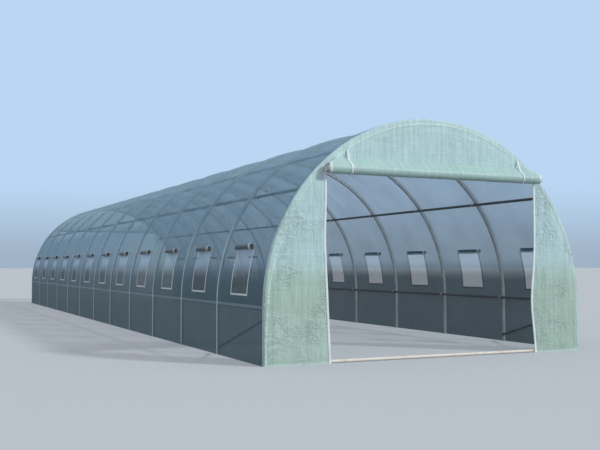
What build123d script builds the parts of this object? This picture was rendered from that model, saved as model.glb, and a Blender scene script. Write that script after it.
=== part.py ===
from build123d import *
import math
import os

# Polytunnel greenhouse: steel hoops and rails under a woven film cover, with roll-up doors.
# Millimetres. X runs across the tunnel, Y along it (the front end is at low Y) and Z up.
# The origin is on the ground, in the middle of the tunnel.

# Driving dimensions of the frame
bay_length = 1000
bay_count = 12
arch_radius = 1500
leg_height = 430
tube_diameter = 25
rail_diameter = 25
rail_drop = 36
shoulder_angle = 38.3
joint_gap = 0.3
clearance = 0.3

# Clamps that hang the rails under the hoops
clamp_wall = 3
clamp_length = 25
clamp_neck = 12
saddle_opening = 2

# Braces in the side walls of the end bays
brace_diameter = 19
brace_foot_height = 60
brace_top_height = 350
brace_plate_width = 26
brace_plate_thickness = 3
brace_plate_length = 40
brace_plate_neck = 30

# Bar on the ground across each doorway
sill_diameter = 25

# Film cover, in strips that follow the arch
film_thickness = 2
wall_seam_angle = 24
roof_seam_angle = 57

# Net windows in the side walls, measured round the cover from the ground
window_bottom = 506
window_top = 888
window_width = 364
window_border = 15
border_thickness = 1.5
net_thickness = 1
flap_height = 888
flap_diameter = 46
flap_length = 340
flap_tie_width = 24
flap_tie_thickness = 1.5
flap_tie_share = 0.45
flap_tie_sweep = 300

# Doorways and their rolled doors
door_width = 1980
door_offset = 12
door_height = 1480
binding_width = 20
binding_thickness = 3
roll_diameter = 88
roll_length = 2024
roll_offset = 19
tie_width = 16
tie_thickness = 2
tie_spacing = 1648
tie_offset = 18
tie_top_height = 1636
tie_end_angle = 270

# Places worked out from the driving dimensions
tube_radius = tube_diameter / 2
rail_radius = rail_diameter / 2
hoop_radius = arch_radius - tube_radius
rail_place_radius = hoop_radius - rail_drop
tunnel_length = bay_length * bay_count
half_tunnel = tunnel_length / 2
half_frame = half_tunnel + tube_radius
film_inside = arch_radius + clearance
film_outside = film_inside + film_thickness
film_reach = half_frame + clearance + clamp_wall
panel_back = film_reach + clearance
panel_front = panel_back + film_thickness
hoop_places = [-half_tunnel + bay_length * number for number in range(bay_count + 1)]
bay_centres = [-half_tunnel + bay_length * (number + 0.5) for number in range(bay_count)]
door_left = door_offset - door_width / 2
door_right = door_offset + door_width / 2


def arch_plane(angle, place, radius=hoop_radius):
    """Plane across the arch at an angle above level: X out of the arch, Y along the tunnel."""
    out = (math.cos(math.radians(angle)), 0, math.sin(math.radians(angle)))
    along = (-out[2], 0, out[0])
    origin = (radius * out[0], place, leg_height + radius * out[2])
    return Plane(origin=origin, x_dir=out, z_dir=along)


def arc_angle(height_round_cover):
    """Angle above level of a place measured round the film from the ground."""
    return math.degrees((height_round_cover - leg_height) / arch_radius)


def arch_sector(inner, outer, low_angle, high_angle):
    """Flat ring sector about the middle of the arch, as an outline across the tunnel."""
    with BuildSketch() as sector:
        with BuildLine():
            rim = CenterArc((0, leg_height), outer, low_angle, high_angle - low_angle)
            bore = CenterArc((0, leg_height), inner, low_angle, high_angle - low_angle)
            Line(rim @ 0, bore @ 0)
            Line(rim @ 1, bore @ 1)
        make_face()
    return sector.sketch


def save(part, name):
    """Label a finished piece and write it to its own file."""
    part.label = name
    export_step(part, f"parts/{name}.step")


os.makedirs("parts", exist_ok=True)

# Hoops: two straight legs and four bent lengths of tube, joined where the rails are held
gap_angle = math.degrees(joint_gap / 2 / hoop_radius)
bend_angles = [0, shoulder_angle, 90, 180 - shoulder_angle, 180]
for number, place in enumerate(hoop_places, start=1):
    with BuildPart() as hoop:
        with BuildSketch(Plane.XY):
            with Locations((-hoop_radius, place), (hoop_radius, place)):
                Circle(tube_radius)
        extrude(amount=leg_height - joint_gap / 2)
        for low, high in zip(bend_angles, bend_angles[1:]):
            with BuildSketch(arch_plane(low + gap_angle, place)):
                Circle(tube_radius)
            revolve(
                axis=Axis((0, place, leg_height), (0, -1, 0)),
                revolution_arc=high - low - 2 * gap_angle,
            )
    save(hoop.part, f"hoop_{number:02d}")

# Rails: five tubes along the tunnel, inside the hoops
rail_angles = {
    "right_waist_rail": 0,
    "right_shoulder_rail": shoulder_angle,
    "ridge_rail": 90,
    "left_shoulder_rail": 180 - shoulder_angle,
    "left_waist_rail": 180,
}
for name, angle in rail_angles.items():
    rail_place = arch_plane(angle, 0, rail_place_radius).origin
    with BuildPart() as rail:
        with BuildSketch(Plane.XZ):
            with Locations((rail_place.X, rail_place.Z)):
                Circle(rail_radius)
        extrude(amount=half_frame, both=True)
    save(rail.part, name)

# One clamp: a sleeve round the rail, a neck, and a half saddle under the hoop
with BuildPart() as clamp:
    with BuildSketch(Plane.XY):
        Circle(tube_radius + clearance + clamp_wall)
    extrude(amount=clamp_length / 2, both=True)
    with BuildSketch(Plane.XZ):
        with Locations((-rail_drop, 0)):
            Circle(rail_radius + clearance + clamp_wall)
    extrude(amount=clamp_length / 2, both=True)
    with Locations((-rail_drop / 2, 0, 0)):
        Box(rail_drop, clamp_neck, clamp_neck)
    with BuildSketch(Plane.XY):
        Circle(tube_radius + clearance)
    extrude(amount=clamp_length, both=True, mode=Mode.SUBTRACT)
    with BuildSketch(Plane.XZ):
        with Locations((-rail_drop, 0)):
            Circle(rail_radius + clearance)
    extrude(amount=clamp_length, both=True, mode=Mode.SUBTRACT)
    with Locations((-saddle_opening, 0, 0)):
        Box(
            tube_diameter,
            2 * clamp_length,
            2 * clamp_length,
            align=(Align.MIN, Align.CENTER, Align.CENTER),
            mode=Mode.SUBTRACT,
        )

clamp_angles = {
    "ridge_clamps": [90],
    "shoulder_clamps": [shoulder_angle, 180 - shoulder_angle],
    "waist_clamps": [0, 180],
}
for name, angles in clamp_angles.items():
    crossings = [arch_plane(angle, place).location for angle in angles for place in hoop_places]
    with BuildPart() as clamps:
        with Locations(*crossings):
            add(clamp.part)
    save(clamps.part, name)

# Braces: tubes with flattened ends, from the second hoop's foot up to the end hoop
brace_rise = brace_top_height - brace_foot_height
brace_run = math.hypot(bay_length, brace_rise)
brace_side = arch_radius - tube_diameter - clearance - brace_plate_thickness / 2
brace_tube_start = brace_plate_length + brace_plate_neck - brace_plate_width / 2
for name, end in (("front", -1), ("rear", 1)):
    foot = Vector(brace_side, end * (half_tunnel - bay_length), brace_foot_height)
    towards_end = Vector(0, end * bay_length, brace_rise).normalized()
    with BuildPart() as braces:
        for start, heading in ((foot, towards_end), (foot + towards_end * brace_run, -towards_end)):
            flat = Plane(origin=start, x_dir=(1, 0, 0), z_dir=heading)
            with BuildSketch(flat.offset(-brace_plate_width / 2)):
                Rectangle(brace_plate_thickness, brace_plate_width)
            extrude(amount=brace_plate_length)
            with BuildSketch(flat.offset(brace_plate_length - brace_plate_width / 2)):
                Rectangle(brace_plate_thickness, brace_plate_width)
            with BuildSketch(flat.offset(brace_tube_start)):
                Circle(brace_diameter / 2)
            loft()
        with BuildSketch(Plane(origin=foot, x_dir=(1, 0, 0), z_dir=towards_end).offset(brace_tube_start)):
            Circle(brace_diameter / 2)
        extrude(amount=brace_run - 2 * brace_tube_start)
        mirror(about=Plane.YZ)
    save(braces.part, f"{name}_braces")

# Sill bars: a tube on the ground between the legs of each end hoop
sill_reach = hoop_radius - tube_radius - clearance
for name, place in (("front_sill_bar", -half_tunnel), ("rear_sill_bar", half_tunnel)):
    with BuildPart() as sill:
        with BuildSketch(Plane.YZ):
            with Locations((place, sill_diameter / 2)):
                Circle(sill_diameter / 2)
        extrude(amount=sill_reach, both=True)
    save(sill.part, name)

# Windows: one in the middle of each bay, all made in one go across the bay planes
bay_planes = [Plane.XZ.offset(-place) for place in bay_centres]
hole_low = arc_angle(window_bottom + window_border)
hole_high = arc_angle(window_top - window_border)
hole_width = window_width - 2 * window_border

# Side wall strips of the cover: upright to the top of the legs, then bent, with window holes
with BuildPart() as right_wall_cover:
    with BuildSketch(Plane.XZ):
        with Locations(((film_inside + film_outside) / 2, leg_height / 2)):
            Rectangle(film_thickness, leg_height)
        add(arch_sector(film_inside, film_outside, 0, wall_seam_angle))
    extrude(amount=film_reach, both=True)
    with BuildSketch(*bay_planes):
        add(arch_sector(arch_radius, film_outside + film_thickness, hole_low, hole_high))
    extrude(amount=hole_width / 2, both=True, mode=Mode.SUBTRACT)
save(right_wall_cover.part, "right_wall_cover")

with BuildPart() as left_wall_cover:
    mirror(right_wall_cover.part, about=Plane.YZ)
save(left_wall_cover.part, "left_wall_cover")

# Upper strips of the cover
strip_angles = {
    "right_shoulder_cover": (wall_seam_angle, roof_seam_angle),
    "right_roof_cover": (roof_seam_angle, 90),
    "left_roof_cover": (90, 180 - roof_seam_angle),
    "left_shoulder_cover": (180 - roof_seam_angle, 180 - wall_seam_angle),
}
for name, (low, high) in strip_angles.items():
    with BuildPart() as strip:
        with BuildSketch(Plane.XZ):
            add(arch_sector(film_inside, film_outside, low, high))
        extrude(amount=film_reach, both=True)
    save(strip.part, name)

# Nets that close the window holes
net_edge = math.degrees(clearance / arch_radius)
with BuildPart() as right_window_nets:
    with BuildSketch(*bay_planes):
        add(arch_sector(film_inside, film_inside + net_thickness, hole_low + net_edge, hole_high - net_edge))
    extrude(amount=hole_width / 2 - clearance, both=True)
save(right_window_nets.part, "right_window_nets")

# White borders sewn round the windows
border_inside = film_outside + clearance
border_outside = border_inside + border_thickness
with BuildPart() as right_window_borders:
    with BuildSketch(*bay_planes):
        add(arch_sector(border_inside, border_outside, arc_angle(window_bottom), arc_angle(window_top)))
    extrude(amount=window_width / 2, both=True)
    with BuildSketch(*bay_planes):
        add(arch_sector(film_outside, border_outside + clearance, hole_low, hole_high))
    extrude(amount=hole_width / 2, both=True, mode=Mode.SUBTRACT)
save(right_window_borders.part, "right_window_borders")

# Rolled-up window flaps above the windows, each held by a strap
flap_radius = flap_diameter / 2
flap_place_radius = border_outside + clearance + flap_radius
flap_plane = arch_plane(arc_angle(flap_height), 0, flap_place_radius)
with BuildPart() as right_window_flaps:
    with BuildSketch(*bay_planes):
        with Locations((flap_plane.origin.X, flap_plane.origin.Z)):
            Circle(flap_radius)
    extrude(amount=flap_length / 2, both=True)
save(right_window_flaps.part, "right_window_flaps")

tie_planes = [plane.offset(flap_tie_share * flap_length) for plane in bay_planes]
flap_tie_inner = flap_radius + clearance
flap_tie_start = arc_angle(flap_height) - flap_tie_sweep / 2
with BuildPart() as right_flap_ties:
    with BuildSketch(*tie_planes):
        with BuildLine():
            centre = (flap_plane.origin.X, flap_plane.origin.Z)
            outer = CenterArc(centre, flap_tie_inner + flap_tie_thickness, flap_tie_start, flap_tie_sweep)
            inner = CenterArc(centre, flap_tie_inner, flap_tie_start, flap_tie_sweep)
            Line(outer @ 0, inner @ 0)
            Line(outer @ 1, inner @ 1)
        make_face()
    extrude(amount=flap_tie_width / 2, both=True)
save(right_flap_ties.part, "right_flap_ties")

# The same window pieces on the left wall
window_pieces = {
    "left_window_nets": right_window_nets,
    "left_window_borders": right_window_borders,
    "left_window_flaps": right_window_flaps,
    "left_flap_ties": right_flap_ties,
}
for name, piece in window_pieces.items():
    with BuildPart() as left_pieces:
        mirror(piece.part, about=Plane.YZ)
    save(left_pieces.part, name)

# End walls: the arch outline, cut by the doorway into two side panels and a top panel
with BuildSketch() as end_outline:
    with Locations((0, leg_height)):
        Circle(film_outside)
    with Locations((0, leg_height)):
        Rectangle(2 * film_outside, film_outside, align=(Align.CENTER, Align.MAX), mode=Mode.SUBTRACT)
    Rectangle(2 * film_outside, leg_height, align=(Align.CENTER, Align.MIN))
with BuildSketch() as left_panel_outline:
    add(end_outline.sketch)
    with Locations((-film_outside, 0)):
        Rectangle(
            door_left + film_outside,
            door_height,
            align=(Align.MIN, Align.MIN),
            mode=Mode.INTERSECT,
        )
with BuildSketch() as right_panel_outline:
    add(end_outline.sketch)
    with Locations((door_right, 0)):
        Rectangle(
            film_outside - door_right,
            door_height,
            align=(Align.MIN, Align.MIN),
            mode=Mode.INTERSECT,
        )
with BuildSketch() as top_panel_outline:
    add(end_outline.sketch)
    Rectangle(
        2 * film_outside,
        door_height,
        align=(Align.CENTER, Align.MIN),
        mode=Mode.SUBTRACT,
    )
panel_outlines = {
    "left_panel": left_panel_outline,
    "right_panel": right_panel_outline,
    "top_panel": top_panel_outline,
}
for name, outline in panel_outlines.items():
    with BuildPart() as panel:
        with BuildSketch(Plane.XZ.offset(panel_back)):
            add(outline.sketch)
        extrude(amount=film_thickness)
    save(panel.part, f"front_{name}")
    with BuildPart() as rear_panel:
        mirror(panel.part, about=Plane.XZ)
    save(rear_panel.part, f"rear_{name}")

# Door fittings at the front end: edge bindings, the rolled door and the straps that hold it
binding_height = door_height - roll_diameter / 2
with BuildPart() as door_bindings:
    with BuildSketch(Plane.XZ.offset(panel_front + clearance)):
        with Locations((door_left - binding_width, 0), (door_right, 0)):
            Rectangle(binding_width, binding_height, align=(Align.MIN, Align.MIN))
    extrude(amount=binding_thickness)
save(door_bindings.part, "front_door_bindings")

roll_radius = roll_diameter / 2
roll_place = -(panel_front + binding_thickness + 2 * clearance + roll_radius)
with BuildPart() as door_roll:
    with BuildSketch(Plane.YZ.offset(roll_offset)):
        with Locations((roll_place, door_height)):
            Circle(roll_radius)
    extrude(amount=roll_length / 2, both=True)
save(door_roll.part, "front_door_roll")

tie_inner = roll_radius + clearance
roll_centre = Vector(roll_place, door_height)
tie_top = Vector(-(panel_front + clearance), tie_top_height)
tie_slant = math.degrees(math.acos(tie_inner / (tie_top - roll_centre).length))
tie_start = math.degrees(math.atan2(tie_top.Y - roll_centre.Y, tie_top.X - roll_centre.X)) + tie_slant
tie_out = Vector(math.cos(math.radians(tie_start)), math.sin(math.radians(tie_start))) * tie_thickness
tie_sweep = tie_end_angle - tie_start
tie_places = (tie_offset - tie_spacing / 2, tie_offset + tie_spacing / 2)
with BuildPart() as door_ties:
    with BuildSketch(*[Plane.YZ.offset(x) for x in tie_places]):
        with BuildLine():
            outer = CenterArc(roll_centre, tie_inner + tie_thickness, tie_start, tie_sweep)
            inner = CenterArc(roll_centre, tie_inner, tie_start, tie_sweep)
            Polyline(outer @ 0, tie_top + tie_out, tie_top, inner @ 0)
            Line(inner @ 1, outer @ 1)
        make_face()
    extrude(amount=tie_width / 2, both=True)
save(door_ties.part, "front_door_ties")

# The same fittings at the rear end
door_pieces = {
    "rear_door_bindings": door_bindings,
    "rear_door_roll": door_roll,
    "rear_door_ties": door_ties,
}
for name, piece in door_pieces.items():
    with BuildPart() as rear_pieces:
        mirror(piece.part, about=Plane.XZ)
    save(rear_pieces.part, name)
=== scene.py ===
import math

import bpy
import numpy as np
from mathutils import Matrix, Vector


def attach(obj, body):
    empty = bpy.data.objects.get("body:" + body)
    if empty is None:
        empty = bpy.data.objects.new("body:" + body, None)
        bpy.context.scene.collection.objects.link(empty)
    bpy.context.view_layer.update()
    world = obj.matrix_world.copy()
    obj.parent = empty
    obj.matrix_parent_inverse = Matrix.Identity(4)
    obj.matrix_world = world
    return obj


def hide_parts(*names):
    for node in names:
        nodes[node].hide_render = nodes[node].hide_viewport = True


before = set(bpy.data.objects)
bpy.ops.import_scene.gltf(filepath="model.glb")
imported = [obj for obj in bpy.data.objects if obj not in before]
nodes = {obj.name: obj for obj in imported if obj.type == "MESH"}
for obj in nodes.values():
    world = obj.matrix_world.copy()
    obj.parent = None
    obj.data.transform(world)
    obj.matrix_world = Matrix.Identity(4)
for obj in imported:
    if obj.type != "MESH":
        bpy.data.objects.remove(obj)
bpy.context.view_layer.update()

# Camera: low in front of the left corner of the front end, turned towards the far end.
# Its place, turn and focal length were fitted to the arch, the rails and the base lines.
camera_place = (-3.925, -11.788, 0.735)
camera_turn = math.radians(25.20)
camera_tilt = math.radians(2.77)
camera_data = bpy.data.cameras.new("camera")
camera_data.lens = 51.09
camera_data.sensor_width = 36.0
camera = bpy.data.objects.new("camera", camera_data)
camera.location = camera_place
camera.rotation_euler = (math.radians(90) + camera_tilt, 0.0, -camera_turn)
bpy.context.scene.collection.objects.link(camera)
bpy.context.scene.camera = camera


# Studio: a wide pale floor in a pale surround, one soft sun from the front right and above,
# and even light from all round.
def put(tree, kind, values=None, **settings):
    """A new shader node. Values are constants or sockets, by the input's name or number."""
    made = tree.nodes.new(kind)
    for key, value in settings.items():
        setattr(made, key, value)
    for key, value in (values or {}).items():
        if isinstance(value, bpy.types.NodeSocket):
            tree.links.new(value, made.inputs[key])
        else:
            made.inputs[key].default_value = value
    return made


def maths(tree, kind, first, second=0.0):
    """Result of a math node."""
    return put(tree, "ShaderNodeMath", {0: first, 1: second}, operation=kind).outputs[0]


def ranged(tree, value, low, high, to_low=0.0, to_high=1.0, curve="LINEAR"):
    """Value moved from the range between low and high to another one, and kept in it."""
    ends = {0: value, 1: low, 2: high, 3: to_low, 4: to_high}
    return put(tree, "ShaderNodeMapRange", ends, interpolation_type=curve).outputs[0]


def tone_between(tree, share, first, second):
    """Colour between two colours, by a share of 0 to 1."""
    ends = {"Factor": share, 6: first, 7: second}
    return put(tree, "ShaderNodeMix", ends, data_type="RGBA").outputs[2]


def finish_of(name, roughness, metallic=0.0):
    """A new material, with its node tree and its shader."""
    material = bpy.data.materials.new(name)
    material.use_nodes = True
    shader = material.node_tree.nodes["Principled BSDF"]
    shader.inputs["Roughness"].default_value = roughness
    shader.inputs["Metallic"].default_value = metallic
    return material, material.node_tree, shader


def surface(name, points, faces, material, uv=None, pale=None, smooth=True):
    """An object from points and faces, with a UV pair and a pale share for each point: pale tape, and
    on the cover painted light where tubes show through.
    """
    mesh = bpy.data.meshes.new(name)
    mesh.from_pydata(np.asarray(points).tolist(), [], np.asarray(faces).tolist())
    if uv is not None:
        layer = mesh.uv_layers.new(name="flat")
        corner = np.zeros(len(mesh.loops), dtype=np.int32)
        mesh.loops.foreach_get("vertex_index", corner)
        layer.data.foreach_set("uv", np.asarray(uv)[corner].astype(np.float32).ravel())
    if pale is not None:
        share = mesh.attributes.new("pale", "FLOAT", "POINT")
        share.data.foreach_set("value", np.asarray(pale, dtype=np.float32).ravel())
    mesh.polygons.foreach_set("use_smooth", np.full(len(mesh.polygons), smooth))
    mesh.update()
    mesh.materials.append(material)
    made = bpy.data.objects.new(name, mesh)
    bpy.context.scene.collection.objects.link(made)
    return made


floor_half = 300.0
floor_lit = (0.28, 0.30, 0.32, 1.0)
floor_seen = (0.56, 0.605, 0.65, 1.0)
floor_finish, tree, shader = finish_of("pale_floor", roughness=0.9)
to_camera = put(tree, "ShaderNodeLightPath").outputs["Is Camera Ray"]
tree.links.new(tone_between(tree, to_camera, floor_lit, floor_seen), shader.inputs["Base Color"])
shader.inputs["Specular IOR Level"].default_value = 0.0
floor_corners = np.array([(-1, -1, 0), (1, -1, 0), (1, 1, 0), (-1, 1, 0)]) * floor_half
surface("floor", floor_corners, [(0, 1, 2, 3)], floor_finish)

sun_heading = Vector((-0.575, 0.639, -0.511))
sun_data = bpy.data.lights.new("sun", "SUN")
sun_data.energy = 1.75
sun_data.angle = math.radians(5.0)
sun = bpy.data.objects.new("sun", sun_data)
sun.rotation_mode = "QUATERNION"
sun.rotation_quaternion = sun_heading.to_track_quat("-Z", "Y")
bpy.context.scene.collection.objects.link(sun)

even_tone = (0.96, 0.98, 1.0, 1.0)
horizon_tone = (0.35, 0.45, 0.56, 1.0)
upper_tone = (0.49, 0.67, 0.89, 1.0)
world = bpy.data.worlds.new("surround")
world.use_nodes = True
bpy.context.scene.world = world
tree = world.node_tree
tree.nodes.clear()
path = put(tree, "ShaderNodeLightPath").outputs
seen = maths(tree, "MAXIMUM", path["Is Camera Ray"], path["Is Glossy Ray"])
seen = maths(tree, "MAXIMUM", seen, path["Is Transmission Ray"])
heading = put(tree, "ShaderNodeTexCoord").outputs["Generated"]
rise = put(tree, "ShaderNodeSeparateXYZ", {0: heading}).outputs["Z"]
upper_share = ranged(tree, rise, 0.0, 0.10, curve="SMOOTHSTEP")
surround = tone_between(tree, upper_share, horizon_tone, upper_tone)
even = put(tree, "ShaderNodeBackground", {"Color": even_tone, "Strength": 0.62})
shown = put(tree, "ShaderNodeBackground", {"Color": surround, "Strength": 1.0})
mixed = put(tree, "ShaderNodeMixShader", {0: seen, 1: even.outputs[0], 2: shown.outputs[0]})
put(tree, "ShaderNodeOutputWorld", {"Surface": mixed.outputs[0]})
bpy.context.scene.view_settings.view_transform = "Standard"


# Hoops: round steel tube in two straight legs and four bent lengths, pushed into each other end
# to end, with a bright zinc coat that has dulled to a faint spangle.
def object_place(tree):
    """Place on the object, in metres."""
    return put(tree, "ShaderNodeTexCoord").outputs["Object"]


def noise_at(tree, place, scale, detail, twist=0.0):
    """Soft noise of 0 to 1 with so many turns to the metre."""
    values = {"Vector": place, "Scale": scale, "Detail": detail, "Distortion": twist}
    return put(tree, "ShaderNodeTexNoise", values).outputs["Fac"]


def raise_bumps(tree, shader, height, strength, distance):
    """Bumps on a shader, from a height of 0 to 1."""
    values = {"Height": height, "Strength": strength, "Distance": distance}
    tree.links.new(put(tree, "ShaderNodeBump", values).outputs[0], shader.inputs["Normal"])


def zinc_finish(name, dark, pale, spangle, roughness):
    """Dull zinc: small cells of two tones under slow cloudy patches, a little uneven."""
    material, tree, shader = finish_of(name, roughness, metallic=0.35)
    place = object_place(tree)
    cells = put(tree, "ShaderNodeTexVoronoi", {"Vector": place, "Scale": spangle}).outputs["Color"]
    clouds = noise_at(tree, place, scale=9.0, detail=4.0)
    share = ranged(tree, maths(tree, "MULTIPLY", cells, clouds), 0.1, 0.5)
    tree.links.new(tone_between(tree, share, dark, pale), shader.inputs["Base Color"])
    rough = ranged(tree, clouds, 0.0, 1.0, roughness - 0.08, roughness + 0.1)
    tree.links.new(rough, shader.inputs["Roughness"])
    raise_bumps(tree, shader, clouds, strength=0.15, distance=0.001)
    return material


def dress(names, material):
    """Gives CAD nodes their finish."""
    for name in names:
        for number in range(len(nodes[name].material_slots)):
            nodes[name].material_slots[number].material = material


bay = 1.0
half_tunnel = 6.0
leg = 0.43
hoop_radius = 1.4875
hoop_places = np.arange(-half_tunnel, half_tunnel + bay, bay)
hoop_names = [f"hoop_{number:02d}" for number in range(1, len(hoop_places) + 1)]
hoop_finish = zinc_finish("hoop_zinc", dark=(0.26, 0.30, 0.32, 1.0), pale=(0.46, 0.50, 0.52, 1.0),
                          spangle=160.0, roughness=0.40)
dress(hoop_names, hoop_finish)


# Joint screws: zinc-plated steel screws with hexagon heads that pin each tube into the next one.
# They are driven in from the inside of the hoops, close to both ends of each bent length.
def hex_head(across, height, chamfer):
    """Hexagon head as rings along its axis: foot, shoulder, and a narrower top that is closed."""
    turn = np.arange(6) * math.pi / 3
    radii = np.array([across, across, across - chamfer, 0.0]) / 2
    rise = np.array([0.0, height - chamfer, height, height])
    ring = np.stack([np.cos(turn), np.sin(turn)], -1)
    rises = np.broadcast_to(rise[:, None, None], (len(rise), len(turn), 1))
    return np.concatenate([radii[:, None, None] * ring, rises], -1).reshape(-1, 3)


def grid_faces(rows, columns, keep=None, wrap=False):
    """Faces between the points of a grid that is numbered row by row."""
    last = columns if wrap else columns - 1
    row, column = np.meshgrid(np.arange(rows - 1), np.arange(last), indexing="ij")
    here, after = row * columns + column, row * columns + (column + 1) % columns
    cells = np.stack([here, after, after + columns, here + columns], -1).reshape(-1, 4)
    return cells if keep is None else cells[keep.ravel()]


def repeated(faces, copies, size):
    """Faces of one shape, for a number of copies of size points each."""
    return (faces[None] + np.arange(copies)[:, None, None] * size).reshape(-1, faces.shape[1])


def placed(shape, faces, origins, x_axes, z_axes):
    """Copies of one shape, each at its origin and turned to its own axes."""
    y_axes = np.cross(z_axes, x_axes)
    turned = np.einsum("pk,nkj->npj", shape, np.stack([x_axes, y_axes, z_axes], 1))
    points = (turned + origins[:, None]).reshape(-1, 3)
    return points, repeated(faces, len(origins), len(shape))


def arch_frames(angles, radius, spread):
    """Origins at angles round every hoop, with the directions outward and along the arch."""
    turns, places = np.meshgrid(np.radians(angles), hoop_places + spread, indexing="ij")
    angle, place = turns.ravel(), places.ravel()
    level = np.zeros_like(angle)
    out = np.stack([np.cos(angle), level, np.sin(angle)], -1)
    round_it = np.stack([-np.sin(angle), level, np.cos(angle)], -1)
    origin = out * radius + np.stack([level, place, np.full_like(angle, leg)], -1)
    return origin, out, round_it


shoulder = 38.3
rail_angles = np.array([0.0, shoulder, 90.0, 180.0 - shoulder, 180.0])
screw_gap = math.degrees(0.030 / hoop_radius)
screw_angles = np.concatenate([rail_angles[1:] - screw_gap, rail_angles[:-1] + screw_gap])
screw_radius = hoop_radius - 0.0122
screw_head = hex_head(across=0.008, height=0.0045, chamfer=0.0015)
head_faces = grid_faces(4, 6, wrap=True)
screw_finish = zinc_finish("screw_zinc", dark=(0.42, 0.43, 0.43, 1.0), pale=(0.62, 0.63, 0.62, 1.0),
                           spangle=500.0, roughness=0.3)
origin, out, round_it = arch_frames(screw_angles, screw_radius, spread=0.0)
points, faces = placed(screw_head, head_faces, origin, round_it, -out)
screws = surface("joint_screws", points, faces, screw_finish, smooth=False)
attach(screws, "root")

# Rails: five straight tubes that run the length of the tunnel, held just inside the hoops by
# clamps. They are zinc-coated steel like the hoops, in darker zinc tones that are painted shade.
rail_names = ["ridge_rail", "left_shoulder_rail", "right_shoulder_rail",
              "left_waist_rail", "right_waist_rail"]
shaded_tube_finish = zinc_finish("rail_zinc_painted_shade", dark=(0.07, 0.085, 0.095, 1.0), pale=(0.13, 0.15, 0.16, 1.0),
                          spangle=160.0, roughness=0.5)
dress(rail_names, shaded_tube_finish)


# Clamps: pressed and zinc-plated steel, a sleeve round the rail and a saddle under the hoop,
# pulled together by a bolt and nut through the neck between them.
def joined(parts):
    """Shapes that each have their points and faces, as one."""
    starts = np.cumsum([0] + [len(points) for points, _ in parts])
    faces = [faces + start for (_, faces), start in zip(parts, starts)]
    return np.concatenate([points for points, _ in parts]), np.concatenate(faces)


clamp_finish = zinc_finish("clamp_zinc", dark=(0.24, 0.25, 0.26, 1.0), pale=(0.40, 0.41, 0.41, 1.0),
                           spangle=300.0, roughness=0.38)
dress(["ridge_clamps", "shoulder_clamps", "waist_clamps"], clamp_finish)
neck_half = 0.006
neck_radius = hoop_radius - 0.018
clamp_head = hex_head(across=0.010, height=0.005, chamfer=0.0015)
heads = []
for way in (-1.0, 1.0):
    origin, out, _ = arch_frames(rail_angles, neck_radius, way * neck_half)
    along = np.broadcast_to((0.0, way, 0.0), out.shape)
    heads.append(placed(clamp_head, head_faces, origin, out, along))
bolts = surface("clamp_bolts", *joined(heads), screw_finish, smooth=False)
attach(bolts, "root")

# Braces: thinner tube with both ends hammered flat, bolted across the first and last bays
# from the foot of one hoop to the end hoop.
# The braces take the rails' darker zinc tones, which are painted shade as well.
dress(["front_braces", "rear_braces"], shaded_tube_finish)
plate_face = 1.4717
brace_ends = np.array([(plate_face, 5.0, 0.06), (plate_face, 6.0, 0.35)])
corners = np.array([(1, 1, 1), (-1, 1, 1), (1, -1, 1), (-1, -1, 1)])
brace_head = hex_head(across=0.012, height=0.006, chamfer=0.002)
origin = (brace_ends[None] * corners[:, None]).reshape(-1, 3)
inward = np.sign(origin) * (-1.0, 0.0, 0.0)
upward = np.broadcast_to((0.0, 0.0, 1.0), inward.shape)
points, faces = placed(brace_head, head_faces, origin, upward, inward)
brace_bolts = surface("brace_bolts", points, faces, screw_finish, smooth=False)
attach(brace_bolts, "root")


# Sill bars: a steel tube that lies on the floor across each doorway, between the feet of the
# end hoop. Its cream paint is dusty and a little scuffed.
def painted_finish(name, clean, dusty, roughness):
    """Paint: a clean tone with dusty patches that are rougher."""
    material, tree, shader = finish_of(name, roughness)
    dust = noise_at(tree, object_place(tree), scale=14.0, detail=6.0)
    share = ranged(tree, dust, 0.5, 0.75)
    tree.links.new(tone_between(tree, share, clean, dusty), shader.inputs["Base Color"])
    rough = ranged(tree, dust, 0.0, 1.0, roughness, 0.8)
    tree.links.new(rough, shader.inputs["Roughness"])
    return material


sill_finish = painted_finish("cream_paint", clean=(0.80, 0.76, 0.70, 1.0),
                             dusty=(0.62, 0.57, 0.50, 1.0), roughness=0.45)
dress(["front_sill_bar", "rear_sill_bar"], sill_finish)

# Cover: one woven polyethylene film stretched over the hoops from foot to foot. It is
# see-through and slate green, hugs every hoop and dips to a crease in the middle of each roof bay.
film_radius = 1.5013
film_girth = 2 * leg + math.pi * film_radius
edge_round = 0.0125
film_off_hoop = 0.0171
panel_place = half_tunnel + film_off_hoop
cover_end = panel_place - edge_round
roof_dip = 0.027
ripple_height = 0.0015
hole_low, hole_high, hole_half = 0.521, 0.873, 0.167

# Heights between which the film's look changes: where its darker lower part ends, where the roof
# starts, and towards the crown. Film that lies on a hoop is painted pale on the wall, as painted
# light of the tube behind it, and darker on the roof.
low_tone_below, high_tone_above = 0.58, 0.84
roof_low, roof_high = 1.15, 1.32
crown_low, crown_high = 1.35, 1.75
hoops_pale_to, hoops_dark_from = 0.85, 1.25


def arch_at(girth, radius=film_radius):
    """Place and outward direction at a distance round the film: legs, and a half circle between."""
    turn = np.clip((girth - leg) / film_radius, 0.0, math.pi)
    z = leg + radius * np.sin(turn)
    z = np.where(girth < leg, girth, np.where(girth > film_girth - leg, film_girth - girth, z))
    return -radius * np.cos(turn), z, -np.cos(turn), np.sin(turn)


def smooth_step(value, low, high):
    """0 below low, 1 above high, and between them 3 times the share squared less 2 times its cube."""
    share = np.clip((value - low) / (high - low), 0.0, 1.0)
    return share * share * (3 - 2 * share)


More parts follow.
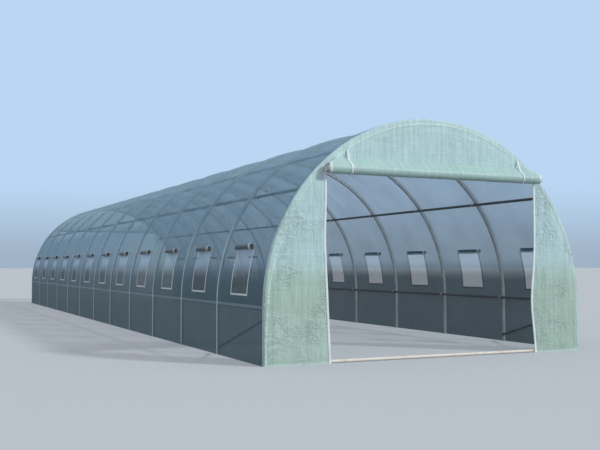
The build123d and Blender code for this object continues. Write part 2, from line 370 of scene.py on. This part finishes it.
def ripples(u, v, seed, count, shortest, longest, stretch=(1.0, 1.0)):
    """Sum of plane waves with seeded lengths, directions and phases, about -1 to 1."""
    random = np.random.default_rng(seed)
    lowest, highest = (shortest, 0, 0), (longest, 2 * math.pi, 2 * math.pi)
    total = np.zeros(np.broadcast(u, v).shape)
    for _ in range(count):
        length, heading, phase = random.uniform(lowest, highest)
        wave = u * math.cos(heading) * stretch[0] + v * math.sin(heading) * stretch[1]
        total = total + np.sin(2 * math.pi * wave / length + phase)
    return total / math.sqrt(2.0 * count)


def rows_of(*parts):
    """Grids of coordinates as one row for each point."""
    return np.stack(parts, -1).reshape(-1, len(parts))


def number_between(tree, share, first, second):
    """Number between two numbers, by a share of 0 to 1."""
    return put(tree, "ShaderNodeMix", {"Factor": share, 2: first, 3: second}).outputs[0]


def scaled(tree, colour, size):
    """Colour times a number."""
    values = {0: colour, "Scale": size}
    return put(tree, "ShaderNodeVectorMath", values, operation="SCALE").outputs[0]


def weighted(tree, first, first_weight, second, second_weight):
    """Sum of two values, each times its weight."""
    return maths(tree, "ADD", maths(tree, "MULTIPLY", first, first_weight),
                 maths(tree, "MULTIPLY", second, second_weight))


def height_of(tree):
    """Height above the floor, in metres."""
    return put(tree, "ShaderNodeSeparateXYZ", {0: object_place(tree)}).outputs["Z"]


def seen_aslant(tree, low, high, most=1.0):
    """0 where the surface is seen squarely, growing to most where it is seen edge-on."""
    facing = put(tree, "ShaderNodeLayerWeight", {"Blend": 0.5}).outputs["Facing"]
    return ranged(tree, facing, low, high, 0.0, most, "SMOOTHSTEP")


def crossing_threads(tree, flat, per_metre, width):
    """1 on threads that cross both ways and 0 between them. Width is a share of their spacing."""
    parts = put(tree, "ShaderNodeSeparateXYZ", {0: flat}).outputs
    lines = []
    for number in range(2):
        turns = maths(tree, "MULTIPLY", parts[number], per_metre)
        lines.append(maths(tree, "LESS_THAN", maths(tree, "FRACT", turns), width))
    return maths(tree, "MAXIMUM", lines[0], lines[1])


def film_weave(tree, flat, height, crinkle, contrast):
    """Threads, clouds, tone and relief of a woven film, drawn on its flat UV in metres.

    Threads of tape cross every 10 mm. Clouds, long streaks, fine yarns and bars change the tone,
    and ridged noise in patches is the crinkle, which is weaker towards the roof. The crinkle's
    creases are painted darker, as painted shade."""

    def noise(across, up, detail, twist=0.0):
        """Noise with so many turns to the metre each way."""
        drawn = put(tree, "ShaderNodeMapping", {"Vector": flat, "Scale": (across, up, 1.0)})
        return noise_at(tree, drawn.outputs[0], scale=1.0, detail=detail, twist=twist)

    threads = crossing_threads(tree, flat, per_metre=100.0, width=0.14)
    clouds, streaks = noise(2.5, 2.5, 5.0), noise(38.0, 2.2, 3.0)
    yarns, bars = noise(130.0, 9.0, 2.0), noise(3.0, 60.0, 3.0)
    ridge = maths(tree, "ABSOLUTE", maths(tree, "SUBTRACT", noise(15.0, 20.0, 3.0, 1.4), 0.5))
    patch = ranged(tree, noise(3.2, 3.2, 2.0), 0.44, 0.60, 0.12, 1.0)
    patch = maths(tree, "MULTIPLY", patch, ranged(tree, height, 1.3, 1.5, 1.0, 0.4))
    crease = maths(tree, "MULTIPLY", ranged(tree, ridge, 0.0, 0.08, 1.0, 0.0), patch)
    tone = maths(tree, "ADD", weighted(tree, clouds, 0.7, streaks, 1.5),
                 weighted(tree, yarns, 1.2, bars, 0.6))
    # Creases are painted darker here, as painted shade in them.
    tone = maths(tree, "ADD", maths(tree, "SUBTRACT", tone, 2.0),
                 maths(tree, "MULTIPLY", crease, -0.35 * crinkle))
    tone = maths(tree, "ADD", maths(tree, "MULTIPLY", tone, contrast), 1.0)
    relief = weighted(tree, streaks, 0.8 * crinkle, crease, 0.9 * crinkle)
    relief = maths(tree, "ADD", relief, maths(tree, "MULTIPLY", threads, 0.06))
    return threads, clouds, tone, relief


def film_colour(tree, height, risen, pale, low, high, crown, pale_tone, pale_high):
    """Colour from low to high above the film's darker lower part, and to the crown tone at the ridge,
    which is painted light on the top. The pale share turns it to pale_tone, or to pale_high higher
    up."""
    colour = tone_between(tree, risen, low, high)
    # The crown tone is painted light: the top of the roof is lighter where sun and sky fall on it.
    if crown:
        crown_share = ranged(tree, height, crown_low, crown_high, 0.0, 0.9, "SMOOTHSTEP")
        colour = tone_between(tree, crown_share, colour, crown)
    above = ranged(tree, height, hoops_pale_to, hoops_dark_from, curve="SMOOTHSTEP")
    # On the cover the pale share is painted light of the tubes behind: pale_tone on the wall,
    # pale_high on the roof.
    paled = tone_between(tree, above, pale_tone, pale_high or pale_tone)
    return tone_between(tree, pale, colour, paled)


def film_opening(tree, height, open_share, pale, pale_open, lets_by, threads, clouds):
    """Share of what is behind that shows. Threads halve it, clouds change it, and it closes where
    the film is seen aslant, less so on the roof. Film also scatters light on to what is behind it,
    so lets_by of the light goes through, whatever the eye sees."""
    between = ranged(tree, threads, 0.0, 1.0, 1.0, 0.5)
    clear = maths(tree, "MULTIPLY", maths(tree, "MULTIPLY", between, open_share),
                  ranged(tree, clouds, 0.3, 0.7, 0.9, 1.1))
    closes = ranged(tree, height, roof_low, roof_high, 0.85, 0.4, "SMOOTHSTEP")
    closed = maths(tree, "MULTIPLY", seen_aslant(tree, low=0.64, high=0.90), closes)
    clear = maths(tree, "MULTIPLY", clear, maths(tree, "SUBTRACT", 1.0, closed))
    clear = number_between(tree, pale, clear, pale_open)
    way = put(tree, "ShaderNodeLightPath").outputs
    scattered = maths(tree, "MAXIMUM", way["Is Shadow Ray"], way["Is Diffuse Ray"])
    return number_between(tree, scattered, clear, lets_by)


def film_finish(name, low, high, low_open, high_open, lets_by, pale_tone, pale_open, crinkle,
                contrast, crown=None, pale_high=None, sheen=0.25, gloss=0.4):
    """Woven film. Its colour and its clear share go from low to high at about waist height, so it is
    darker and less clear below. The pale share is given with the sheet, for tapes and folds, and on
    the cover for painted light where tubes show through."""
    material, tree, shader = finish_of(name, roughness=0.46)
    shader.inputs["Sheen Weight"].default_value = sheen
    shader.inputs["Sheen Roughness"].default_value = 0.4
    shader.inputs["Specular IOR Level"].default_value = gloss
    flat = put(tree, "ShaderNodeUVMap", uv_map="flat").outputs[0]
    pale = put(tree, "ShaderNodeAttribute", attribute_name="pale").outputs["Fac"]
    height = height_of(tree)
    risen = ranged(tree, height, low_tone_below, high_tone_above, curve="SMOOTHSTEP")
    open_share = ranged(tree, risen, 0.0, 1.0, low_open, high_open)
    threads, clouds, tone, relief = film_weave(tree, flat, height, crinkle, contrast)
    colour = film_colour(tree, height, risen, pale, low, high, crown, pale_tone, pale_high)
    tree.links.new(scaled(tree, colour, tone), shader.inputs["Base Color"])
    clear = film_opening(tree, height, open_share, pale, pale_open, lets_by, threads, clouds)
    tree.links.new(maths(tree, "SUBTRACT", 1.0, clear), shader.inputs["Alpha"])
    raise_bumps(tree, shader, relief, strength=0.6, distance=0.004)
    return material


# Lines of the cover's grid: round the arch and along the tunnel, closer together where the film
# clings to a hoop or a waist rail, up to its core and no more at its edge, and round the windows.
hoop_core, hoop_edge = 0.0115, 0.0165
waist_core, waist_edge = 0.0085, 0.0135
waist_lines = leg + np.array([-waist_edge, -waist_core, waist_core, waist_edge])
low_lines = np.concatenate([
    np.linspace(0, leg - 0.03, 10), waist_lines, np.linspace(leg + 0.03, hole_low, 3),
    np.linspace(hole_low, hole_high, 9)[1:], np.linspace(hole_high, film_girth / 2, 42)[1:]])
girth_lines = np.concatenate([low_lines, film_girth - low_lines[-2::-1]])
bay_lines = np.concatenate([
    [0, hoop_core, hoop_edge, 0.035, 0.055], np.linspace(0.08, 0.5 - hole_half, 5),
    np.linspace(0.5 - hole_half, 0.5 + hole_half, 7)[1:],
    np.linspace(0.5 + hole_half, 0.92, 5)[1:], [0.945, 0.965, 1 - hoop_edge, 1 - hoop_core]])
length_lines = (hoop_places[:-1, None] + bay_lines * bay).ravel()
length_lines = np.concatenate([[-cover_end], length_lines, [half_tunnel, cover_end]])
girth, along = np.meshgrid(girth_lines, length_lines, indexing="ij")

# Shape of the cover: it dips between the hoops of the roof and ripples a little where it is free.
x, z, out_x, out_z = arch_at(girth)
bay_share = (along + half_tunnel) / bay
dip = roof_dip * smooth_step(z, 0.95, 1.5) * (1 - np.abs(np.cos(math.pi * bay_share)))
free = np.abs(np.sin(math.pi * bay_share)) * smooth_step(z, 0.95, 1.2)
waves = ripples(along, girth, seed=3, count=24, shortest=0.12, longest=0.5)
shift = ripple_height * free * waves - dip
points = rows_of(x + out_x * shift, along, z + out_z * shift)
uv = rows_of(along, girth)

# Window holes: the cells inside them are left out, and so are the points that no cell uses.
mid_girth = (girth_lines[:-1] + girth_lines[1:]) / 2
mid_bay = ((length_lines[:-1] + length_lines[1:]) / 2 + half_tunnel) / bay % 1.0
from_foot = np.minimum(mid_girth, film_girth - mid_girth)
hole_rows = (from_foot > hole_low) & (from_foot < hole_high)
hole_columns = np.abs(mid_bay - 0.5) < hole_half
hole_columns[[0, -1]] = False
in_film = ~(hole_rows[:, None] & hole_columns[None, :])
faces = grid_faces(len(girth_lines), len(length_lines), in_film)
used = np.unique(faces)
new_number = np.zeros(len(points), dtype=int)
new_number[used] = np.arange(len(used))

# Pale share of the cover: painted light where the film lies on a hoop or a waist rail, as if the lit
# tube showed through, and a painted haze beside the hoops that covers their shaded sides.
hoop_glow_share, waist_share = 0.22, 0.34
from_hoop = np.abs(along - np.round(along))
on_hoop = 1 - smooth_step(from_hoop, hoop_core, hoop_edge)
hoop_glow = hoop_glow_share * (1 - smooth_step(from_hoop, 0.02, 0.075)) * smooth_step(z, 0.6, 1.0)
on_waist = waist_share * (1 - smooth_step(np.abs(z - leg), waist_core, waist_edge))
pale = np.maximum.reduce([on_hoop, hoop_glow, on_waist]).ravel()
# The cover's darker, nearly closed lower part is painted shade and reflection of dark ground. Its
# lighter crown tone is painted light on the top.
cover_finish = film_finish(
    "see_through_film", low=(0.043, 0.104, 0.136, 1.0), high=(0.095, 0.24, 0.35, 1.0),
    low_open=0.08, high_open=0.55, lets_by=0.75, pale_tone=(0.46, 0.61, 0.68, 1.0), pale_open=0.04,
    crinkle=0.5, contrast=0.25, crown=(0.17, 0.34, 0.45, 1.0),
    pale_high=(0.135, 0.285, 0.39, 1.0), sheen=0.08, gloss=0.32)
cover = surface("film_cover", points[used], new_number[faces], cover_finish, uv[used], pale[used])
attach(cover, "root")
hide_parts("left_wall_cover", "left_shoulder_cover", "left_roof_cover",
            "right_roof_cover", "right_shoulder_cover", "right_wall_cover")


# Window borders and nets: a white tape is welded round each opening, and a fine grey insect net
# is held behind it. The borders are the source's own thin frames.
def tape_finish(name, clean, worn, rib_scale):
    """White woven tape: fine ribs across it, with faint grey wear in slow patches."""
    material, tree, shader = finish_of(name, roughness=0.6)
    place = object_place(tree)
    share = ranged(tree, noise_at(tree, place, scale=11.0, detail=5.0), 0.45, 0.75)
    tree.links.new(tone_between(tree, share, clean, worn), shader.inputs["Base Color"])
    values = {"Vector": place, "Scale": rib_scale, "Distortion": 0.4}
    ribs = put(tree, "ShaderNodeTexWave", values, bands_direction="DIAGONAL").outputs["Fac"]
    raise_bumps(tree, shader, ribs, strength=0.3, distance=0.0006)
    return material


border_finish = tape_finish("white_tape", clean=(0.68, 0.77, 0.82, 1.0),
                            worn=(0.55, 0.63, 0.67, 1.0), rib_scale=120.0)
dress(["left_window_borders", "right_window_borders"], border_finish)


def net_finish(name, low, high, low_open, high_open):
    """Fine net of square threads every 2.5 mm. Its colour goes from low to high up the net as painted
    light: dark below like shaded ground behind it, sky blue above like the sky. Its clear share goes
    from low to high as the film's does, and it too closes where it is seen aslant. The threads are
    0.7 solid, so the gaps between them let 1.25 times the clear share through."""
    material, tree, shader = finish_of(name, roughness=0.7)
    flat = put(tree, "ShaderNodeUVMap", uv_map="flat").outputs[0]
    threads = crossing_threads(tree, flat, per_metre=400.0, width=0.22)
    risen = ranged(tree, height_of(tree), 0.62, 0.80, curve="SMOOTHSTEP")
    wear = ranged(tree, noise_at(tree, flat, scale=6.0, detail=3.0), 0.0, 1.0, 0.85, 1.15)
    colour = scaled(tree, tone_between(tree, risen, low, high), wear)
    tree.links.new(colour, shader.inputs["Base Color"])
    gaps = ranged(tree, risen, 0.0, 1.0, 1.0 - 1.25 * low_open, 1.0 - 1.25 * high_open)
    solid = number_between(tree, threads, gaps, 0.7)
    aslant = seen_aslant(tree, low=0.53, high=0.84, most=0.97)
    solid = number_between(tree, aslant, solid, 1.0)
    tree.links.new(solid, shader.inputs["Alpha"])
    raise_bumps(tree, shader, threads, strength=0.2, distance=0.0005)
    return material


bay_middles = hoop_places[:-1] + 0.5 * bay


def in_every_bay(one, faces):
    """Copies of one shape in the middle of every bay."""
    shifts = np.stack([0 * bay_middles, bay_middles, 0 * bay_middles], -1)
    points = (one[None] + shifts[:, None]).reshape(-1, 3)
    return points, repeated(faces, len(bay_middles), len(one))


# The net's low and high tones are painted: dark ground below and sky light above.
window_finish = net_finish("insect_net", low=(0.085, 0.12, 0.15, 1.0),
                           high=(0.45, 0.65, 0.87, 1.0), low_open=0.32, high_open=0.78)
net_radius = film_radius - 0.0008
net_reach = 0.004
net_rows, net_columns = 10, 8
net_girth, net_along = np.meshgrid(
    np.linspace(hole_low - net_reach, hole_high + net_reach, net_rows),
    np.linspace(-hole_half - net_reach, hole_half + net_reach, net_columns), indexing="ij")
net_uv = np.tile(rows_of(net_along, net_girth), (len(bay_middles), 1))
for name, side in (("left", 1.0), ("right", -1.0)):
    x, z, _, _ = arch_at(net_girth, net_radius)
    one_net = rows_of(side * x, net_along, z)
    points, faces = in_every_bay(one_net, grid_faces(net_rows, net_columns)[:, :: int(side)])
    nets = surface(f"{name}_nets", points, faces, window_finish, net_uv)
    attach(nets, "root")
    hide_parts(f"{name}_window_nets")

# Window flaps: a slate film shade over each window, rolled up by hand and held above it. The roll
# shows as a spiral at its ends, where the shade's side edges are bound with white tape.
flap_height = 0.888
flap_angle = (flap_height - leg) / film_radius
border_face = 1.5041
flap_gap = 0.0003
flap_room = 0.023
flap_axis = border_face + flap_gap + flap_room
flap_half = 0.170
flap_outer, flap_inner, flap_turns = 0.0226, 0.0050, 4.2
hang_out, hang_up = 0.0245, 0.026
hang_out_most, hang_up_most, flap_most = 0.0255, 0.028, 0.0228
flap_tape_from = 0.92
flap_wave_across, flap_wave_along, flap_slip = 0.05, 0.03, 0.004


def rolled(turns, outer, inner, start, steps):
    """Spiral from the outside in: the angle grows evenly and the radius shrinks evenly."""
    turned = np.linspace(0.0, 1.0, steps)
    angle = start + turned * turns * 2 * math.pi
    radius = outer + (inner - outer) * turned
    return radius * np.cos(angle), radius * np.sin(angle)


def measured(a, b):
    """Distance along a line through the points."""
    return np.concatenate([[0.0], np.cumsum(np.hypot(np.diff(a), np.diff(b)))])


def beside_flap(out, up):
    """X and Z of a place that is given from a flap's axis, out of the wall and up along it."""
    around = flap_axis + out
    x = around * math.cos(flap_angle) - up * math.sin(flap_angle)
    return x, leg + around * math.sin(flap_angle) + up * math.cos(flap_angle)


flap_tone = (0.048, 0.085, 0.105, 1.0)
flap_finish = film_finish(
    "slate_flap_film", low=flap_tone, high=flap_tone, low_open=0.06, high_open=0.06, lets_by=0.1,
    pale_tone=(0.66, 0.70, 0.72, 1.0), pale_open=0.0, crinkle=0.4, contrast=0.5)
roll_out, roll_up = rolled(flap_turns, flap_outer, flap_inner, start=math.pi, steps=90)
hung = np.linspace(0.0, 1.0, 6)[:-1]
line_out = np.concatenate([-hang_out + hung * (hang_out - flap_outer), roll_out])
line_up = np.concatenate([hang_up * (1 - hung), roll_up])
flap_run = measured(line_out, line_up)
side_lines = np.array([-1, -0.965, -0.93, -0.90, -0.6, -0.3, 0.0, 0.3, 0.6, 0.90, 0.93, 0.965, 1.0])
run, across = np.meshgrid(flap_run, side_lines, indexing="ij")
flap_uv = np.tile(rows_of(across * flap_half, run), (len(bay_middles), 1))
flap_pale = np.tile((np.abs(across) > flap_tape_from).astype(float).ravel(), len(bay_middles))
random = np.random.default_rng(21)
for name, side in (("left", -1.0), ("right", 1.0)):
    points = []
    for middle in bay_middles:
        wave = 1 + flap_wave_across * np.sin(across * 2.1 + random.uniform(0, 6))
        wave = wave + flap_wave_along * np.sin(run * 30 + random.uniform(0, 6))
        slip = flap_slip * np.sin(run * 17 + random.uniform(0, 6)) * np.abs(across) ** 3
        flap_out = np.clip(line_out[:, None] * wave, -hang_out_most, flap_most)
        flap_up = np.clip(line_up[:, None] * wave, -flap_most, hang_up_most)
        px, pz = beside_flap(flap_out, flap_up)
        py = middle + across * flap_half - np.sign(across) * np.abs(slip)
        points.append(rows_of(side * px, py, pz))
    one_flap = grid_faces(len(flap_run), len(side_lines))[:, :: int(-side)]
    faces = repeated(one_flap, len(bay_middles), run.size)
    flaps = surface(f"{name}_flaps", np.concatenate(points), faces, flap_finish, flap_uv, flap_pale)
    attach(flaps, "root")
    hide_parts(f"{name}_window_flaps")


# Flap straps: white webbing that is looped round each rolled flap close to its front end, and
# holds the roll up against the wall above its window.
def band(line_a, line_b, width, thickness):
    """Flat strap: a closed strip across its width, carried along a line and thick on its left."""
    step_a, step_b = np.gradient(line_a), np.gradient(line_b)
    size = np.hypot(step_a, step_b)
    left_a, left_b = -step_b / size, step_a / size
    share = np.array([-1.0, -0.9, 0.0, 0.9, 1.0, 0.9, 0.0, -0.9])
    lift = np.array([0.5, 1.0, 1.0, 1.0, 0.5, 0.0, 0.0, 0.0]) * thickness
    a = line_a[:, None] + left_a[:, None] * lift
    b = line_b[:, None] + left_b[:, None] * lift
    return a, b, np.broadcast_to(share * width / 2, a.shape)


def strip_faces(rows, columns):
    """Faces of a closed strip of points: its long sides, and its two ends."""
    half = columns // 2
    parts = [grid_faces(rows, columns, wrap=True)]
    for ring in (np.arange(columns), (rows - 1) * columns + np.arange(columns)[::-1]):
        near, far = ring[:half], ring[half:][::-1]
        parts.append(np.stack([near[:-1], near[1:], far[1:], far[:-1]], -1))
    return np.concatenate(parts)


strap_finish = tape_finish("white_webbing", clean=(0.84, 0.93, 0.97, 1.0),
                           worn=(0.72, 0.81, 0.85, 1.0), rib_scale=200.0)
turn = np.radians(np.linspace(150, -150, 31))
flap_loop = 0.0231
loop_out, loop_up = flap_loop * np.cos(turn), flap_loop * np.sin(turn)
strap_out, strap_up, strap_y = band(loop_out, loop_up, width=0.022, thickness=0.0012)
strap_place = -0.45 * (2 * flap_half)
for name, side in (("left", -1.0), ("right", 1.0)):
    px, pz = beside_flap(strap_out, strap_up)
    one_strap = rows_of(side * px, strap_y + strap_place, pz)
    points, faces = in_every_bay(one_strap, strip_faces(*px.shape)[:, :: int(side)])
    straps = surface(f"{name}_flap_straps", points, faces, strap_finish)
    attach(straps, "root")
    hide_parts(f"{name}_flap_ties")

# End walls: the same weave in a heavier, nearly solid pale green film, one sheet for each end with
# the doorway cut out. It is turned back over the end hoop, with a doubled hem inside the rim.
door_top = 1.474
hem_left, hem_right, hem_foot = 0.058, 0.030, 0.014
seam_least = 0.0128
welt_height, fold_height, crease_height = 0.0016, 0.0035, 0.0025
hem_share, seam_share = 0.15, 0.85
side_points, top_points = 80, 110


def left_edge(z):
    """Left side of the doorway: it leans out up to chest height and a little back above it."""
    return -0.9515 - 0.047 * z + 0.03 * smooth_step(z, 0.85, 1.4)


def right_edge(z):
    """Right side of the doorway: upright, pulled in towards the doorway at knee height."""
    return 1.0125 - 0.0375 * np.exp(-(((z - 0.44) / 0.28) ** 2))


def end_lines():
    """Rim and doorway outline of an end wall, matched point by point round the arch."""
    left_corner = leg + film_radius * math.asin((door_top - leg) / film_radius)
    right_corner = film_girth - left_corner
    round_it = np.concatenate([
        np.linspace(0, left_corner, side_points),
        np.linspace(left_corner, right_corner, top_points)[1:],
        np.linspace(right_corner, film_girth, side_points)[1:]])
    rim_x, rim_z, _, _ = arch_at(round_it)
    share = np.clip((round_it - left_corner) / (right_corner - left_corner), 0, 1)
    door_z = np.minimum(rim_z, door_top)
    left_x, right_x = left_edge(door_z), right_edge(door_z)
    door_x = np.where(round_it <= left_corner, left_x, left_x + (right_x - left_x) * share)
    return rim_x, rim_z, np.where(round_it >= right_corner, right_x, door_x), door_z


def end_depths(reach, seam):
    """Distances from the rim towards the doorway: the rim's round, both sides of the hem's seam,
    and even steps from there."""
    near = np.broadcast_to([0, 0.001, 0.003, 0.006, 0.009, edge_round], (len(reach), 6))
    beside = np.maximum(seam + np.array([-0.007, -0.003, 0.0, 0.003, 0.007]), seam_least)
    steps = beside[:, -1:] + (reach - beside[:, -1:]) * np.linspace(0, 1, 46)[1:]
    return np.concatenate([near, beside, steps], 1)


def end_relief(px, pz, depth, reach, seam):
    """Height of an end wall's film over its plane: a quarter round back at the rim, a welt at the
    seam, and folds and sharp creases where it hangs free of the rim, the doorway, the floor and
    the rolled door. The creases are most at chest height beside the doorway and near the floor."""
    inside = np.clip(edge_round - depth, 0, edge_round)
    back = edge_round - np.sqrt(edge_round**2 - inside**2)
    from_door, from_floor = smooth_step(reach - depth, 0.0, 0.06), smooth_step(pz, 0.0, 0.06)
    free = smooth_step(depth, 0.06, 0.11) * from_door * from_floor
    free = free * (1 - smooth_step(pz, 1.34, 1.40) * (1 - smooth_step(pz, 1.58, 1.66)))
    slack = ripples(px, pz, seed=11, count=30, shortest=0.07, longest=0.35, stretch=(1.0, 0.4))
    folds = 0.5 + 0.5 * slack
    squiggles = ripples(px, pz, seed=17, count=26, shortest=0.05, longest=0.16)
    creases = (1 - np.minimum(np.abs(squiggles), 1.0)) ** 3
    chest = np.exp(-(((np.abs(px) - 1.2) / 0.12) ** 2 + ((pz - 1.05) / 0.13) ** 2))
    creased = 0.35 + 1.6 * chest + 0.8 * (1 - smooth_step(pz, 0.25, 0.5))
    welt = welt_height * np.exp(-(((depth - seam) / 0.003) ** 2))
    return welt - back + free * (fold_height * folds + crease_height * creased * creases)


def end_wall(name, side, material):
    """End wall: lines from the rim to the doorway, raised by the film's relief. The hem, its seam
    and the foot of the film are paler."""
    rim_x, rim_z, door_x, door_z = end_lines()
    reach = np.hypot(door_x - rim_x, door_z - rim_z)[:, None]
    hem_depth = hem_left + (hem_right - hem_left) * (rim_x + film_radius) / (2 * film_radius)
    seam = hem_foot + (hem_depth - hem_foot) * smooth_step(rim_z, 0.0, 1.1)
    seam = seam[:, None]
    depth = end_depths(reach, seam)
    px = rim_x[:, None] + (door_x - rim_x)[:, None] * depth / reach
    pz = rim_z[:, None] + (door_z - rim_z)[:, None] * depth / reach
    place = side * (panel_place + end_relief(px, pz, depth, reach, seam))
    faces = grid_faces(*px.shape)[:, :: int(-side)]
    hem = hem_share * (1 - smooth_step(depth, seam - 0.003, seam + 0.003))
    hem = hem + seam_share * np.exp(-(((depth - seam) / 0.005) ** 2))
    foot = 1 - smooth_step(pz, 0.008, 0.014)
    pale = np.maximum(hem, foot)
    return surface(name, rows_of(px, place, pz), faces, material, rows_of(px, pz), pale)


end_finish = film_finish(
    "pale_green_film", low=(0.45, 0.63, 0.55, 1.0), high=(0.52, 0.74, 0.76, 1.0), low_open=0.10,
    high_open=0.10, lets_by=0.35, pale_tone=(0.66, 0.85, 0.82, 1.0), pale_open=0.03,
    crinkle=1.4, contrast=0.33)
end_walls = {}
for end, side in (("front", -1.0), ("rear", 1.0)):
    end_walls[end] = end_wall(f"{end}_end_wall", side, end_finish)
    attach(end_walls[end], "root")
    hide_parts(f"{end}_left_panel", f"{end}_right_panel", f"{end}_top_panel")

# Doorway bindings: a white tape folded over the cut edges of the doorway, from the floor up
# to behind the rolled door. Its section goes round the film's edge, and it flutters a little.
tape_width = 0.018
tape_across = np.array([1.0, 0.85, 0.10, -0.06, -0.06, 0.10, 0.85, 1.0]) * tape_width
tape_lift = np.array([0.0022, 0.0040, 0.0046, 0.0035, -0.0012, -0.0020, -0.0016, -0.0008])
tape_top = 1.462
tape_flutter = 0.0012
tape_rise = np.linspace(0.0, tape_top, 60)[:, None]
for end, side in (("front", -1.0), ("rear", 1.0)):
    tapes = []
    for edge, way, seed in ((left_edge, -1.0, 5), (right_edge, 1.0, 6)):
        waves = ripples(tape_rise, tape_rise, seed, count=12, shortest=0.05, longest=0.4)
        px = edge(tape_rise) + way * tape_across
        py = side * (panel_place + tape_lift + tape_flutter * waves * (tape_lift > 0))
        pz = np.broadcast_to(tape_rise, px.shape)
        tapes.append((rows_of(px, py, pz), strip_faces(*px.shape)[:, :: int(way * side)]))
    binding = surface(f"{end}_bindings", *joined(tapes), strap_finish)
    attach(binding, "root")
    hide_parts(f"{end}_door_bindings")

# Rolled doors: the door film comes down in front of the end wall and is rolled up to the head of
# the doorway. Its side edges are bound in white tape, so the ends of the roll are white spirals.
roll_axis = 6.0657
roll_height = 1.480
roll_left, roll_right = -0.993, 1.031
roll_length = roll_right - roll_left
roll_outer, roll_inner, roll_turns = 0.0436, 0.012, 8.75
wall_face = panel_place + 0.0022
film_rise = 0.095
swell_height, ruffle_height, swell_most = 0.0012, 0.0025, 0.0008
turn_slip, edge_slip = 0.016, 0.004


def door_line():
    """Section of a rolled door: from the wall down to the front of the roll, then round and in."""
    top = np.array([roll_axis - wall_face, film_rise])
    touch = math.atan2(top[1], top[0]) + math.acos(roll_outer / math.hypot(*top))
    around, rise = rolled(roll_turns, roll_outer, roll_inner, start=touch, steps=300)
    drop = np.linspace(0.0, 1.0, 14)[:-1]
    start = top[:, None] + (np.array([around[0], rise[0]]) - top)[:, None] * drop
    return np.concatenate([start[0], around]), np.concatenate([start[1], rise]), len(drop)


line_in, line_up, drops = door_line()
door_run = measured(line_in, line_up)
tape_lines = np.array([0, 0.006, 0.012, 0.0175, 0.0185, 0.03])
across_lines = np.concatenate([tape_lines, np.linspace(0.06, roll_length - 0.06, 46),
                               roll_length - tape_lines[::-1]])
run, across = np.meshgrid(door_run, across_lines, indexing="ij")
from_end = np.minimum(across, roll_length - across)
near_end = np.exp(-((from_end / 0.02) ** 2))
at_end = 1 - smooth_step(from_end, 0.0, 0.006)
size = np.hypot(line_in, line_up)[:, None]
on_roll = (np.arange(len(door_run)) >= drops)[:, None]
roll_step = (roll_outer - roll_inner) / roll_turns
middle = (roll_left + roll_right) / 2
taper = 1 - 0.075 * (1 - smooth_step(run, 0.0, 0.10))
door_pale = (from_end < tape_width) * smooth_step(run, 0.06, 0.09)
door_tone = (0.45, 0.655, 0.635, 1.0)
door_finish = film_finish(
    "door_film", low=door_tone, high=door_tone, low_open=0.10, high_open=0.10, lets_by=0.2,
    pale_tone=(0.80, 0.86, 0.90, 1.0), pale_open=0.0, crinkle=0.8, contrast=0.26)
rolls = {}
for end, side, seed in (("front", -1.0, 31), ("rear", 1.0, 41)):
    swell = swell_height * ripples(across, 3 * run, seed, count=24, shortest=0.08, longest=0.5)
    ruffle = ruffle_height * near_end * np.sin(run * 90 + seed)
    grow = np.where(on_roll, np.minimum(swell + ruffle, swell_most) / size, 0.0)
    grow = grow + 0.85 * roll_step * smooth_step(run, 0.36, 0.45) / size * at_end
    slip = turn_slip * smooth_step(run, 0.2, 1.4)
    slip = slip + edge_slip * np.sin(run * 23 + seed) * smooth_step(run, 0.10, 0.25)
    px = roll_left + across + np.where(across < 1.0, -1.0, 1.0) * slip * near_end
    px = middle + (px - middle) * taper
    py = side * (roll_axis - line_in[:, None] * (1 + grow))
    pz = roll_height + line_up[:, None] * (1 + grow)
    faces = grid_faces(*px.shape)[:, :: int(side)]
    uv = rows_of(px, roll_height + film_rise - run)
    rolls[end] = surface(f"{end}_roll", rows_of(px, py, pz), faces, door_finish, uv, door_pale)
    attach(rolls[end], "root")
    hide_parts(f"{end}_door_roll")

# Door straps: white webbing sewn to the top of the end wall, slanting down to the rolled door
# and looped under it.
strap_radius = 0.0447
strap_top = 1.636
strap_end = math.radians(282)


def strap_line(kink):
    """Path of a strap: from its sewn top down to the door film, along it, and round the roll."""
    top = np.array([roll_axis - wall_face, strap_top - roll_height])
    film_top = np.array([top[0], film_rise])
    touch = math.atan2(film_top[1], film_top[0]) + math.acos(strap_radius / math.hypot(*film_top))
    rest = strap_radius * np.array([math.cos(touch), math.sin(touch)])
    meets = film_top + (rest - film_top) * kink
    drop = np.linspace(0.0, 1.0, 9)[:-1]
    slack = 0.003 * np.sin(math.pi * drop)
    down = top[:, None] + (meets - top)[:, None] * drop - np.array([[1.0], [0.3]]) * slack
    along_film = meets[:, None] + (rest - meets)[:, None] * np.linspace(0.0, 1.0, 5)[:-1]
    turn = np.linspace(touch, strap_end, 22)
    round_roll = strap_radius * np.stack([np.cos(turn), np.sin(turn)])
    return np.concatenate([down, along_film, round_roll], 1)[:, ::-1]


for end, side in (("front", -1.0), ("rear", 1.0)):
    bands = []
    for place, kink in ((-0.806, 0.30), (0.842, 0.52)):
        strap_in, strap_up, strap_x = band(*strap_line(kink), width=0.016, thickness=0.0014)
        points = rows_of(place + strap_x, side * (roll_axis - strap_in), roll_height + strap_up)
        bands.append((points, strip_faces(*strap_in.shape)[:, :: int(side)]))
    ties = surface(f"{end}_door_straps", *joined(bands), strap_finish)
    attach(ties, "root")
    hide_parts(f"{end}_door_ties")
